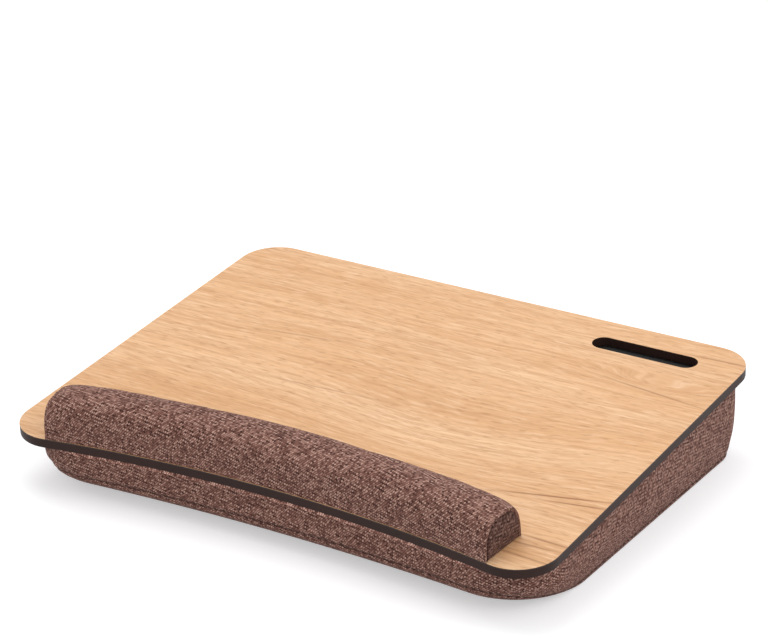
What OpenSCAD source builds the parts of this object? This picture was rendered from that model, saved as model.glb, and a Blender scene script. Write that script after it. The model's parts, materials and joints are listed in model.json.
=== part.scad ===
// Cushioned lap tray: an oak-faced board with a hollowed front edge and a slot
// for standing a phone, a padded wrist rest along the front, and a wedge
// cushion underneath in a zipped fabric cover. Millimetres, +Z up, rear is +Y.

/* [Board] */
// Width of the board, side to side
board_w = 434; // [400:1:520]
// Depth of the board, front corners to rear edge
board_d = 342; // [300:1:400]
// Radius of the four corners
corner_r = 30; // [26:1:45]
// Radius of the hollowed front edge
front_arc_r = 1050; // [800:5:1600]
// Thickness of the fibreboard core
core_t = 5.8; // [4:0.1:10]
// Thickness of the oak-finish sheet on top
oak_t = 0.8; // [0.4:0.1:1.5]
// Thickness of the balancing sheet underneath
back_t = 0.4; // [0.3:0.1:1.2]
// Thickness of the dark edging round the rim and in the slot
edging_t = 1; // [0.5:0.1:2]
// Slope of the board, rear edge up, in degrees
tilt = 4.8; // [3:0.1:8]
// Height of the board's top face over the floor at its front corners
front_height = 46; // [38:0.1:60]

/* [Phone slot] */
// Width of the slot
slot_w = 18; // [12:0.5:24]
// Length of the slot, end to end
slot_l = 85; // [60:1:120]
// Distance from the board's right side to the slot
slot_from_side = 35; // [20:0.5:60]
// Distance from the rear edge to the slot's centre line
slot_from_rear = 32.5; // [26:0.5:50]

/* [Wrist rest] */
// Distance from the board's sides to the ends of the padded roll
rest_from_side = 37; // [34:0.5:80]
// Depth of the roll where it stands on the board
rest_d = 39; // [34:0.5:55]
// Height of the roll at its crown
rest_h = 34.5; // [32:0.5:42]
// Height of the end panels
rest_end_h = 28; // [20:0.5:31]
// Length over which the crown falls to the end panels
rest_puff = 40; // [8:1:80]
// How far the front of the roll swells past its foot
rest_swell = 2.5; // [0:0.1:4]
// Distance of the roll's foot behind the board's front edge
rest_setback = 2; // [0.5:0.1:6]
// Thickness of the roll's fabric
rest_cloth_t = 1; // [0.6:0.1:1.6]
// Width of the fabric flaps turned under the mounting strip
rest_flap = 11; // [8:0.5:13]
// Distance of the plywood mounting strip's ends inside the roll's ends
strip_from_end = 16; // [10:1:60]
// Thickness of the mounting strip
strip_t = 5; // [4:0.5:8]
// Number of screws up into the mounting strip
screw_count = 4; // [3:1:6]
// Diameter of the screw shanks
screw_d = 3.5; // [3:0.1:4.5]
// Diameter of the screw heads
screw_head_d = 7; // [6:0.1:9]
// Depth that the screws bite into the strip
screw_bite = 4; // [3:0.1:4.5]

/* [Cushion] */
// Thickness of the cushion's fabric
cloth_t = 1.2; // [0.8:0.1:2]
// Distance of the cover's top seam inside the board's sides
seam_side = 7.5; // [6:0.5:12]
// Distance of the cover's top seam inside the board's front edge
seam_front = 2.5; // [2:0.5:8]
// Distance of the cover's top seam inside the board's rear edge
seam_rear = 6; // [4:0.5:9]
// Distance of the cover's foot inside the board's sides
foot_side = 11; // [6:0.5:16]
// Distance of the cover's foot inside the board's front edge
foot_front = 30; // [12:0.5:36]
// Distance of the cover's foot inside the board's rear edge
foot_rear = 8; // [7:0.5:18]
// Radius of the cover's hollowed front at the foot
foot_arc_r = 2500; // [1050:10:4000]
// Radius of the cover's front corners at the top seam
seam_r = 49; // [40:1:60]
// Radius of the cover's front corners at the foot
foot_r = 54; // [40:1:70]
// Radius of the cover's rear corners
rear_r = 24; // [20:1:30]
// How far the front and side walls belly out
belly = 1.2; // [0:0.1:4]
// Height of the binding tape round the top seam
binding_h = 3; // [2:0.1:5]
// Thickness of the binding tape
binding_t = 0.9; // [0.5:0.1:1.5]
// Length of each grip strip between board and cushion
grip_l = 110; // [60:1:130]
// Width of each grip strip
grip_w = 25; // [15:1:40]
// Thickness of the hook half, and of the loop half, of a grip strip
grip_t = 0.8; // [0.6:0.1:1.4]
// Distance from the board's sides to the grip strips
grip_from_side = 45; // [30:1:60]
// Distance from the board's front corners and rear edge to the grip strips
grip_from_end = 75; // [64:1:95]

/* [Zip] */
// Distance from the board's sides to the ends of the toothed chain
zip_from_side = 67; // [58:1:140]
// Height of the chain up the rear wall
zip_height = 33; // [25:0.5:40]
// Width of each half of the tape
tape_w = 13; // [10:0.5:16]
// Thickness of the tape
tape_t = 0.6; // [0.4:0.1:1]
// Width of one row of teeth
teeth_w = 2.2; // [1.6:0.1:3]
// Thickness of the rows of teeth
teeth_t = 2; // [1.6:0.1:2.6]
// Gap along the chain that the slider's bridge runs in
chain_gap = 1.2; // [1:0.1:1.8]
// Length of the slider
slider_l = 11; // [8:0.5:14]
// Thickness of each slider plate
plate_t = 1; // [0.8:0.1:1.4]
// Length of the pull tab, from its pivot
pull_l = 26; // [18:1:40]
// Width of the pull tab
pull_w = 7; // [6.5:0.1:10]
// Thickness of the pull tab
pull_t = 1.2; // [1:0.1:1.6]

/* [Hidden] */
$fn = 64;
// Segments of the big arcs, enough to follow the front edge closely
arc_fn = 1440;

// Gap left between soft layers
slack = 0.3;
// Glue line between the edging and the board's layers
glue = 0.05;
// Running gap round the slider and its pull
run = 0.4;
// Gap round the screws
screw_gap = 0.1;
// Overshoot of cutters
over = 1;

// Board, in its own sloping frame: z = 0 on its top face, y = 0 half way back
board_t = core_t + oak_t + back_t;
corner_x = board_w / 2 - corner_r;
corner_y = board_d / 2 - corner_r;
arc_turn = asin(corner_x / (front_arc_r + corner_r));
arc_y = -corner_y - (front_arc_r + corner_r) * cos(arc_turn);
slot_x = board_w / 2 - slot_from_side - slot_l / 2;
slot_y = board_d / 2 - slot_from_rear;

// Wrist rest, measured back from the front edge and up from the board
rest_l = board_w - 2 * (rest_from_side + rest_cloth_t);
rest_half = rest_d / 2;
rest_mid = rest_setback + rest_half;
strip_base = rest_cloth_t;
strip_top = strip_base + strip_t;
strip_inset = rest_cloth_t + 2 * slack;
strip_l = rest_l - 2 * strip_from_end;
// Roundness of the roll's section: 2 is an ellipse, more is squarer
front_round = 3.2;
rear_round = 2.7;
screw_pitch = strip_l / screw_count;
screw_head_h = (screw_head_d - screw_d) / 2;
screw_l = board_t + strip_base + screw_bite;
roll_steps = 12;
roll_stations = [for (i = [0 : 20]) rest_l / 2 * sin(-90 + 9 * i)];
roll_angles = [for (i = [0 : roll_steps]) 180 * i / roll_steps];

// Cushion: its top seam lies under the grip strips
seam_z = -board_t - 2 * grip_t;
foot_lift = 0.4;
binding_gap = 0.5;
// How late the walls turn under on their way down to the foot
turn_under = 5;
// Room past the zip tape in the foam's hollow
hollow_spare = 2;

// Place of the board: the origin is the middle of the whole outline, on the floor
roll_reach = max([for (x = roll_stations, a = roll_angles)
    let (p = roll_point(x, a)) p[2] * sin(tilt) - p[1] * cos(tilt)]);
front_reach = max(roll_reach, board_d / 2 * cos(tilt));
rear_reach = board_d / 2 * cos(tilt) + board_t * sin(tilt);
board_y = (front_reach - rear_reach) / 2;
board_z = front_height + board_d / 2 * sin(tilt);

// Rear wall: a flat strip that leans forward from the top seam to the foot
rear_top = board_d / 2 - seam_rear;
rear_foot = board_d / 2 - foot_rear;
rear_top_y = board_y + rear_top * cos(tilt) - seam_z * sin(tilt);
rear_top_z = board_z + rear_top * sin(tilt) + seam_z * cos(tilt);
rear_foot_y = board_y + rear_foot * cos(tilt);
rear_lean = atan2(rear_top_y - rear_foot_y, rear_top_z - foot_lift);
rear_h = norm([rear_top_y - rear_foot_y, rear_top_z - foot_lift]);

// Zip, in the rear wall's frame: y = 0 on the outer face of the fabric
zip_l = board_w - 2 * zip_from_side;
stop_l = 3;
tape_spare = 7;
rear_w = zip_l + 2 * (stop_l + tape_spare);
tape_l = rear_w - 2 * (hollow_spare + run);
tape_face = -cloth_t;
teeth_top = tape_face + teeth_t;
row_in = chain_gap / 2;
row_out = row_in + teeth_w;
flange_in = row_out + run;
flange_t = 0.7;
slider_half = flange_in + flange_t;
chain_half = slider_half + run;
outer_plate = teeth_top + run;
inner_plate = tape_face - tape_t - run;
slider_x = zip_l / 2 - slider_l / 2 - run;
bar_r = 0.6;
pivot_y = outer_plate + plate_t + run + bar_r;
crown_w = 2;
crown_t = 0.8;
crown_in = bar_r + run;

oak = [0.87, 0.69, 0.48];
edging = [0.13, 0.11, 0.10];
fabric = [0.45, 0.34, 0.30];
fabric_light = [0.56, 0.44, 0.39];
foam = [0.90, 0.86, 0.74];
lining = [0.10, 0.10, 0.10];
zip_brown = [0.27, 0.20, 0.17];
metal = [0.45, 0.42, 0.38];

// Frames
module on_board(z = 0)
    translate([0, board_y, board_z]) rotate([tilt, 0, 0]) translate([0, 0, z]) children();

module on_rear(x = 0, y = 0, z = 0)
    translate([0, rear_foot_y, foot_lift]) rotate([-rear_lean, 0, 0]) translate([x, y, z]) children();

// Board outline, drawn in by an inset, with every arc kept concentric
module board_outline(inset = 0) {
    foot_x = corner_x - corner_r * sin(arc_turn);
    foot_y = -corner_y - corner_r * cos(arc_turn);
    difference() {
        union() {
            square([board_w - 2 * inset, 2 * corner_y], center = true);
            translate([-corner_x, 0]) square([2 * corner_x, board_d / 2 - inset]);
            polygon([[-corner_x, 0], [-corner_x, -corner_y], [-foot_x, foot_y],
                     [foot_x, foot_y], [corner_x, -corner_y], [corner_x, 0]]);
            for (x = [-corner_x, corner_x], y = [-corner_y, corner_y])
                translate([x, y]) circle(corner_r - inset);
        }
        translate([0, arc_y]) circle(front_arc_r + inset, $fn = arc_fn);
    }
}

module slot_outline(grow = 0) {
    reach = slot_l / 2 - slot_w / 2;
    translate([slot_x, slot_y]) {
        square([2 * reach, slot_w + 2 * grow], center = true);
        for (side = [-1, 1])
            translate([side * reach, 0]) circle(slot_w / 2 + grow);
    }
}

// Places of the screws along the middle of the wrist rest
module at_screws()
    for (i = [0 : screw_count - 1]) {
        x = (i - (screw_count - 1) / 2) * screw_pitch;
        translate([x, front_edge(x) + rest_mid, 0]) children();
    }

module screw_body(gap = 0) {
    translate([0, 0, -board_t]) {
        cylinder(h = screw_head_h, r1 = screw_head_d / 2 + gap, r2 = screw_d / 2 + gap);
        cylinder(h = screw_l + gap, r = screw_d / 2 + gap);
    }
}

// One flat layer of the board, between two heights in the board's frame, set in from
// the rim and from the slot
module board_layer(bottom, top, inset)
    on_board() difference() {
        translate([0, 0, bottom]) linear_extrude(top - bottom) difference() {
            board_outline(inset);
            slot_outline(inset);
        }
        at_screws() screw_body(screw_gap);
    }

module board_core() color(edging) board_layer(-board_t + back_t, -oak_t, edging_t + glue);
module oak_top() color(oak) board_layer(-oak_t, 0, 0);
module backing_sheet() color(lining) board_layer(-board_t, -board_t + back_t, edging_t + glue);

// Dark edging under the oak sheet, round the rim and in the slot
module edge_band() color(edging)
    on_board(-board_t) linear_extrude(board_t - oak_t) difference() {
        board_outline(0);
        board_outline(edging_t);
    }

module slot_edging() color(lining)
    on_board(-board_t) linear_extrude(board_t - oak_t) difference() {
        slot_outline(edging_t);
        slot_outline(0);
    }

// Wrist rest: sections across the roll, each set on the hollowed front edge
function front_edge(x) = arc_y + sqrt(pow(front_arc_r, 2) - x * x);

// Share of the full crown at a place along the roll, nought at the end panels
function crown(x) = sqrt(1 - pow(1 - min(1, (rest_l / 2 - abs(x)) / rest_puff), 2));
function roll_height(x) = rest_end_h + (rest_h - rest_end_h) * crown(x);

// A point of the section at an angle from the front foot, 0, to the rear foot, 180,
// drawn in from the roll's skin
function roll_point(x, a, draw = 0) =
    let (round = a < 90 ? front_round : rear_round,
         low = min(draw, rest_cloth_t),
         tall = roll_height(x) - low - draw,
         side = a < 90 ? -1 : 1,
         out = (rest_half - draw) * pow(abs(cos(a)), 2 / round),
         swell = a < 90 ? rest_swell * crown(x) * sin(2 * a) : 0)
    [x, front_edge(x) + rest_mid + side * out - swell, low + tall * pow(sin(a), 2 / round)];

// Angle at which the section, drawn in, reaches a height
function roll_angle(x, height, draw, round) =
    asin(pow((height - rest_cloth_t) / (roll_height(x) - rest_cloth_t - draw), round / 2));

function roll_sheet(x, draw) = concat(
    [[x, front_edge(x) + rest_mid - rest_half + rest_flap, draw]],
    [for (a = roll_angles) roll_point(x, a, draw)],
    [[x, front_edge(x) + rest_mid + rest_half - rest_flap, draw]]);

function roll_filling(x) =
    let (draw = rest_cloth_t + slack,
         front = roll_angle(x, strip_top, draw, front_round),
         rear = roll_angle(x, strip_top, draw, rear_round))
    [for (i = [0 : roll_steps])
        let (share = i / roll_steps)
        roll_point(x, front + (180 - rear - front) * share, draw)];

// Solid between an outer and an inner grid of points, the outer one facing out
// with its rows running left to right and its columns running up
module sheet(outer, inner) {
    rows = len(outer);
    cols = len(outer[0]);
    points = [for (grid = [outer, inner], row = grid, p = row) p];
    function o(i, j) = i * cols + j;
    function n(i, j) = rows * cols + i * cols + j;
    function quad(a, b, c, d) = [[a, b, c], [a, c, d]];
    polyhedron(points, concat(
        [for (i = [0 : rows - 2], j = [0 : cols - 2])
            each quad(o(i, j), o(i, j + 1), o(i + 1, j + 1), o(i + 1, j))],
        [for (i = [0 : rows - 2], j = [0 : cols - 2])
            each quad(n(i, j), n(i + 1, j), n(i + 1, j + 1), n(i, j + 1))],
        [for (i = [0 : rows - 2])
            each quad(o(i, 0), o(i + 1, 0), n(i + 1, 0), n(i, 0))],
        [for (i = [0 : rows - 2], t = cols - 1)
            each quad(o(i, t), n(i, t), n(i + 1, t), o(i + 1, t))],
        [for (j = [0 : cols - 2])
            each quad(o(0, j), n(0, j), n(0, j + 1), o(0, j + 1))],
        [for (j = [0 : cols - 2], e = rows - 1)
            each quad(o(e, j), o(e, j + 1), n(e, j + 1), n(e, j))]
    ), convexity = 8);
}

// Solid through a stack of closed rings with the same number of points, each end
// closed by a fan from the middle of its ring
module loft(rings) {
    count = len(rings);
    around = len(rings[0]);
    first = rings[0];
    last = rings[count - 1];
    function at(k, i) = k * around + i % around;
    function middle(ring) = [for (axis = [0 : 2]) [for (p = ring) 1 / around] * [for (p = ring) p[axis]]];
    foot = count * around;
    head = foot + 1;
    polyhedron(concat([for (ring = rings, p = ring) p], [middle(first), middle(last)]), concat(
        [for (k = [0 : count - 2], i = [0 : around - 1])
            each [[at(k, i), at(k + 1, i), at(k + 1, i + 1)], [at(k, i), at(k + 1, i + 1), at(k, i + 1)]]],
        [for (i = [0 : around - 1]) [foot, at(0, i), at(0, i + 1)]],
        [for (i = [0 : around - 1]) [head, at(count - 1, i + 1), at(count - 1, i)]]
    ), convexity = 8);
}

module wrist_strip() color("burlywood")
    on_board() difference() {
        translate([0, 0, strip_base]) linear_extrude(strip_t) strip_outline();
        at_screws() screw_body(screw_gap);
    }

// Curved strip under the roll, inside its fabric
module strip_outline() {
    reach = rest_half - strip_inset;
    difference() {
        intersection() {
            translate([-strip_l / 2, -board_d / 2]) square([strip_l, board_d]);
            translate([0, arc_y + rest_mid + reach]) circle(front_arc_r, $fn = arc_fn);
        }
        translate([0, arc_y + rest_mid - reach]) circle(front_arc_r, $fn = arc_fn);
    }
}

module wrist_foam() color(foam)
    on_board() loft([for (x = roll_stations) roll_filling(x)]);

module wrist_cover() color(fabric)
    on_board() sheet([for (x = roll_stations) roll_sheet(x, 0)],
                     [for (x = roll_stations) roll_sheet(x, rest_cloth_t)]);

module wrist_end(side) color(fabric_light)
    on_board() translate([side > 0 ? rest_l / 2 : -rest_l / 2 - rest_cloth_t, 0, 0])
        rotate([90, 0, 90]) linear_extrude(rest_cloth_t)
            polygon([for (a = roll_angles) let (p = roll_point(rest_l / 2, a)) [p[1], p[2]]]);

module wrist_end_left() wrist_end(-1);
module wrist_end_right() wrist_end(1);

module wrist_screws() color(metal) on_board() at_screws() screw_body();

// Grip strips: hooks on the board, loops on the cushion
module grip_strips(bottom)
    on_board(bottom) linear_extrude(grip_t)
        for (x = [-1, 1], y = [-1, 1])
            translate([x * (board_w / 2 - grip_from_side - grip_l / 2), y * (board_d / 2 - grip_from_end)])
                square([grip_l, grip_w], center = true);

module hook_strips() color(lining) grip_strips(-board_t - grip_t);
module loop_strips() color("dimgray") grip_strips(seam_z);

// Cushion walls: plan outlines at a share of the wall's height, in the board's x and y,
// from the left end of the rear opening, anticlockwise round the front, to the right end
corner_steps = 7;
front_steps = 12;
side_steps = 4;

function arc_points(x, y, r, from, to, steps) =
    [for (i = [0 : steps])
        let (a = from + (to - from) * i / steps)
        [x + r * cos(a), y + r * sin(a)]];

function line_points(x, from, to) =
    [for (i = [1 : side_steps - 1]) [x, from + (to - from) * i / side_steps]];

// The walls belly out and turn under at the foot, where the front is less hollowed. The rear
// wall stays flat.
function wall_ring(share, depth) =
    let (down = 1 - share,
         puff = belly * pow(sin(180 * share), 2) - depth,
         under = pow(down, turn_under),
         side_x = board_w / 2 - seam_side - (foot_side - seam_side) * under + puff,
         hollow_r = front_arc_r + (foot_arc_r - front_arc_r) * pow(down, 2),
         hollow_y = arc_y + front_arc_r - hollow_r,
         far = hollow_r + seam_front + (foot_front - seam_front) * under - puff,
         rear_y = board_d / 2 - seam_rear - (foot_rear - seam_rear) * down - depth,
         back_r = rear_r - depth,
         front_r = seam_r + (foot_r - seam_r) * pow(down, 2) - depth,
         rear_cx = side_x - back_r,
         rear_cy = rear_y - back_r,
         front_cx = side_x - front_r,
         turn = asin(front_cx / (far + front_r)),
         front_cy = hollow_y + (far + front_r) * cos(turn),
         hollow = arc_points(0, hollow_y, far, 90 + turn, 90 - turn, front_steps))
    concat(
        [[-rear_w / 2, rear_y]],
        arc_points(-rear_cx, rear_cy, back_r, 90, 180, corner_steps),
        line_points(-side_x, rear_cy, front_cy),
        arc_points(-front_cx, front_cy, front_r, 180, 270 + turn, corner_steps),
        [for (i = [1 : front_steps - 1]) hollow[i]],
        arc_points(front_cx, front_cy, front_r, 270 - turn, 360, corner_steps),
        line_points(side_x, front_cy, rear_cy),
        arc_points(rear_cx, rear_cy, back_r, 0, 90, corner_steps),
        [[rear_w / 2, rear_y]]);

// A plan point lifted to a share of the way from the foot's height to a top in the board's frame
function lift(p, share, foot, top) =
    [p[0],
     board_y + p[1] * cos(tilt) - share * top * sin(tilt),
     foot + share * (board_z + p[1] * sin(tilt) + top * cos(tilt) - foot)];

function wall_level(share, depth) =
    [for (p = wall_ring(share, depth)) lift(p, share, foot_lift, seam_z)];

function turned(grid) = [for (j = [0 : len(grid[0]) - 1]) [for (row = grid) row[j]]];

// Shares of the height at which the walls are drawn: the foam's hollow behind the zip
// lies between two of them
hollow_low = (zip_height - tape_w - hollow_spare) / rear_h;
hollow_high = (zip_height + tape_w + hollow_spare) / rear_h;
hollow_step = 0.01;
wall_levels = [
    0, hollow_low / 3, hollow_low * 2 / 3, hollow_low, (hollow_low + hollow_high) / 2,
    hollow_high, (hollow_high + 1) / 2, 1];

module cover_band() color(fabric)
    sheet(turned([for (s = wall_levels) wall_level(s, 0)]),
          turned([for (s = wall_levels) wall_level(s, cloth_t)]));

module cover_bottom() color(fabric)
    linear_extrude(cloth_t)
        polygon([for (p = wall_ring(0, cloth_t + slack)) [p[0], board_y + p[1] * cos(tilt)]]);

module cover_top() color(lining)
    on_board(seam_z - cloth_t) linear_extrude(cloth_t) polygon(wall_ring(1, cloth_t + slack));

module cover_binding() color(fabric_light)
    on_board(-board_t - binding_gap - binding_h) linear_extrude(binding_h) difference() {
        polygon(wall_ring(1, -binding_gap - binding_t));
        polygon(wall_ring(1, -binding_gap));
    }

// Foam wedge, with a hollow behind the zip so that the slider's inner plate runs free
foam_levels = concat(
    [for (i = [0 : 3]) [wall_levels[i], 0]],
    [[hollow_low + hollow_step, 1], [wall_levels[4], 1], [hollow_high - hollow_step, 1]],
    [for (i = [5 : 7]) [wall_levels[i], 0]]);

function foam_ring(share, hollowed) =
    let (depth = cloth_t + slack,
         ring = wall_ring(share, depth),
         end = ring[len(ring) - 1],
         dip = hollowed * (plate_t + run - inner_plate - depth))
    [for (p = concat(ring, [for (side = [1, -1]) [side * (end[0] - hollow_spare), end[1] - dip]]))
        lift(p, share, cloth_t + slack, seam_z - cloth_t - slack)];

module cushion_foam() color(foam)
    loft([for (level = foam_levels) foam_ring(level[0], level[1])]);

// Rear wall: two fabric strips with the zip between them
module rear_panel(bottom, top) color(fabric)
    on_rear(-rear_w / 2, -cloth_t, bottom) cube([rear_w, cloth_t, top - bottom]);

module rear_panel_upper() rear_panel(zip_height + chain_half, rear_h);
module rear_panel_lower() rear_panel(0, zip_height - chain_half);

module zip_tape(side) color(zip_brown)
    on_rear(-tape_l / 2, tape_face - tape_t, zip_height + (side > 0 ? row_in : -row_in - tape_w))
        cube([tape_l, tape_t, tape_w]);

module zip_tape_upper() zip_tape(1);
module zip_tape_lower() zip_tape(-1);

// One row of teeth, as a rail with a rounded outer face
module zip_teeth(side) color(zip_brown)
    on_rear(-zip_l / 2, tape_face, zip_height + side * (row_in + teeth_w / 2))
        rotate([0, 90, 0]) linear_extrude(zip_l) {
            translate([-teeth_w / 2, 0]) square([teeth_w, teeth_t - teeth_w / 2]);
            translate([0, teeth_t - teeth_w / 2]) intersection() {
                circle(teeth_w / 2);
                translate([-teeth_w / 2, 0]) square([teeth_w, teeth_w]);
            }
        }

module zip_teeth_upper() zip_teeth(1);
module zip_teeth_lower() zip_teeth(-1);

module zip_stops() color(metal)
    for (side = [-1, 1])
        on_rear(side > 0 ? zip_l / 2 : -zip_l / 2 - stop_l, tape_face, zip_height - row_out)
            cube([stop_l, teeth_t, 2 * row_out]);

// Outline of a slider plate: a waist that swells to the open end
module slider_outline() {
    nose = slider_half * 0.75;
    polygon([[-slider_l / 2, -nose], [slider_l / 4, -slider_half], [slider_l / 2, -slider_half],
             [slider_l / 2, slider_half], [slider_l / 4, slider_half], [-slider_l / 2, nose]]);
}

module slider_plate(y) translate([0, y + plate_t, 0]) rotate([90, 0, 0])
    linear_extrude(plate_t) slider_outline();

module zip_slider() color(metal)
    on_rear(slider_x, 0, zip_height) {
        slider_plate(outer_plate);
        slider_plate(inner_plate - plate_t);
        // Bridge between the plates, in the gap along the chain
        bridge_t = chain_gap - run;
        translate([slider_l / 4, inner_plate - plate_t, -bridge_t / 2])
            cube([slider_l / 4, outer_plate + 2 * plate_t - inner_plate, bridge_t]);
        // Flanges beside the teeth
        for (side = [-1, 1])
            translate([slider_l / 4, tape_face + run, side > 0 ? flange_in : -slider_half])
                cube([slider_l / 4, outer_plate - tape_face - run + plate_t, flange_t]);
        // Crown that holds the bar of the pull
        translate([0, outer_plate + plate_t, -crown_w / 2]) difference() {
            translate([-crown_in - crown_t, -plate_t / 2, 0])
                cube([2 * (crown_in + crown_t), plate_t / 2 + 2 * crown_in + crown_t, crown_w]);
            translate([-crown_in, 0, -over]) cube([2 * crown_in, 2 * crown_in, crown_w + 2 * over]);
        }
    }

// Pull tab: a bar under the crown, two arms beside it and a long flat tab
module zip_pull() color(metal)
    on_rear(slider_x, pivot_y, zip_height) {
        arm_in = crown_w / 2 + run;
        arm_t = (pull_w - 2 * arm_in) / 2;
        tab_from = norm([crown_in + crown_t, crown_in + crown_t]) + run;
        hole_r = pull_w / 4;
        translate([0, 0, -pull_w / 2]) cylinder(h = pull_w, r = bar_r, $fn = 32);
        for (z = [-pull_w / 2, arm_in])
            translate([-tab_from - over, -pull_t / 2, z]) cube([tab_from + over, pull_t, arm_t]);
        translate([0, pull_t / 2, 0]) rotate([90, 0, 0]) linear_extrude(pull_t) difference() {
            union() {
                translate([-pull_l + pull_w / 2, -pull_w / 2]) square([pull_l - pull_w / 2 - tab_from, pull_w]);
                translate([-pull_l + pull_w / 2, 0]) circle(pull_w / 2);
            }
            translate([-pull_l + pull_w / 2, 0]) circle(hole_r);
        }
    }

board_core();
oak_top();
backing_sheet();
edge_band();
slot_edging();
wrist_strip();
wrist_foam();
wrist_cover();
wrist_end_left();
wrist_end_right();
wrist_screws();
hook_strips();
loop_strips();
cushion_foam();
cover_top();
cover_binding();
cover_band();
cover_bottom();
rear_panel_upper();
rear_panel_lower();
zip_tape_upper();
zip_tape_lower();
zip_teeth_upper();
zip_teeth_lower();
zip_stops();
zip_slider();
zip_pull();
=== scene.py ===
import json
import math

import bmesh
import bpy
import numpy as np
from mathutils import Matrix, Vector


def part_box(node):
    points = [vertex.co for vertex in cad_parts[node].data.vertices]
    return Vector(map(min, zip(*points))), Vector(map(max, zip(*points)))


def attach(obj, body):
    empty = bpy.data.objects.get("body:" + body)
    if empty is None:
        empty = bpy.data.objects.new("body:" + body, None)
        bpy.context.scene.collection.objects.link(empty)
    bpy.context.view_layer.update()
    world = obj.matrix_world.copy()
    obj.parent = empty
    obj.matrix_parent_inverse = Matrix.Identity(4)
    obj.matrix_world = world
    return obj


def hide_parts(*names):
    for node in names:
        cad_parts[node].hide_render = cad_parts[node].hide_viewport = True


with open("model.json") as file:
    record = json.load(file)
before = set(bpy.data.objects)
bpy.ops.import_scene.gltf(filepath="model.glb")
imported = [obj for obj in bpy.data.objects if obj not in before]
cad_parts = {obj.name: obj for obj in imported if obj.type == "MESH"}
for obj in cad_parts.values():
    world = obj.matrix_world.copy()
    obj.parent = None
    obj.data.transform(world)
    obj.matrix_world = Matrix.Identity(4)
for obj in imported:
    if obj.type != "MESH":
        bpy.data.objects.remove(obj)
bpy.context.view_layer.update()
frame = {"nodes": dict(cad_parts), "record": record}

TRAY = "tray"

# Sizes, in metres. They are the ones the solids have, but the cushion's cover is a little fuller at its
# foot, by up to 3.2 mm at the front corners.

MM = 0.001
BOARD_W = 434 * MM
BOARD_D = 342 * MM
BOARD_T = 7 * MM
TILT = math.radians(4.8)
CORNER_R = 30 * MM
FRONT_ARC_R = 1050 * MM

REST_L = 358 * MM
REST_D = 39 * MM
REST_H = 34.5 * MM
REST_END_H = 28 * MM
REST_PUFF = 40 * MM
REST_SWELL = 2.5 * MM
REST_SETBACK = 2 * MM
REST_FRONT_ROUND = 3.2
REST_REAR_ROUND = 2.7

SEAM_SIDE = 7.5 * MM
SEAM_FRONT = 2.5 * MM
SEAM_REAR = 6 * MM
FOOT_SIDE = 9.8 * MM
FOOT_FRONT = 30 * MM
FOOT_REAR = 8 * MM
FOOT_ARC_R = 2500 * MM
SEAM_R = 48 * MM
FOOT_R = 49 * MM
REAR_R = 24 * MM
BELLY = 1.2 * MM
TURN_UNDER = 5
GRIP_T = 1.6 * MM
CLOTH_T = 1.2 * MM
BINDING_H = 3 * MM
BINDING_T = 0.9 * MM
BINDING_GAP = 0.5 * MM

ZIP_L = 300 * MM
ZIP_HEIGHT = 33 * MM
REAR_W = 320 * MM
CHAIN_HALF = 4.3 * MM
CHAIN_GAP = 1.2 * MM
TEETH_W = 2.2 * MM
TEETH_T = 2 * MM
PIVOT_OUT = 3.2 * MM

# Frames: the board's place comes from its oak sheet, and the rear wall's lean from the pull's hinge.

joints = {joint["name"]: joint for joint in frame["record"]["behaviour"]["joints"]}
oak_low, oak_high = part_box("oak_top")

BOARD_BACK = np.array((0, math.cos(TILT), math.sin(TILT)))
BOARD_UP = np.array((0, -math.sin(TILT), math.cos(TILT)))
BOARD_AT = np.array((0, oak_low[1], oak_high[2])) + BOARD_D / 2 * BOARD_BACK * (0, 1, -1)

PULL_AT = np.array(joints["zip_pull_hinge"]["pos_m"])
REAR_UP = -np.array(joints["zip_pull_hinge"]["axis"])
REAR_OUT = np.cross(REAR_UP, (1, 0, 0))
REAR_FOOT = PULL_AT * (0, 1, 1) - PIVOT_OUT * REAR_OUT - ZIP_HEIGHT * REAR_UP


def placed(points, origin, back, up):
    """Points given as x, back, up in a sloping frame, in the row frame."""
    points = np.asarray(points, float)
    across = points[..., 0:1] * np.array((1, 0, 0))
    return origin + across + points[..., 1:2] * back + points[..., 2:3] * up


def on_board(points):
    return placed(points, BOARD_AT, BOARD_BACK, BOARD_UP)


def on_rear(points):
    return placed(points, REAR_FOOT, REAR_OUT, REAR_UP)


# Mesh helpers

# Distance from a seam that is given where there is none near
UNSEWN = 1.0


def grid_object(name, *patches, seam=None):
    """A piece of cloth from grids of points whose columns run along it and whose rows run up, so that
    its faces look outwards. With each grid goes its points' places on the flat cloth, and seam gives
    the distance of each point from a sewn seam."""
    places, flats, faces = [], [], []
    for points, cloth in patches:
        rows, cols = points.shape[:2]
        first = len(places)
        faces += [(first + r * cols + c, first + r * cols + c + 1,
                   first + (r + 1) * cols + c + 1, first + (r + 1) * cols + c)
                  for r in range(rows - 1) for c in range(cols - 1)]
        places += points.reshape(-1, 3).tolist()
        flats += cloth.reshape(-1, 2).tolist()
    mesh = bpy.data.meshes.new(name)
    mesh.from_pydata(places, [], faces)
    sewn = np.full(len(flats), UNSEWN) if seam is None else np.ravel(seam)
    on_cloth = mesh.attributes.new("cloth", "FLOAT_VECTOR", "POINT")
    on_cloth.data.foreach_set("vector", np.column_stack([flats, sewn]).ravel())
    mesh.shade_smooth()
    piece = bpy.data.objects.new(name, mesh)
    bpy.context.scene.collection.objects.link(piece)
    return piece


def ringed(points):
    """Rings of points, each closed by its first point once more."""
    return np.concatenate([points, points[:, :1]], 1)


def dress(piece, look, body=TRAY):
    """The piece gets its material and the body that it rides on."""
    piece.data.materials.append(look)
    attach(piece, body)


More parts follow.
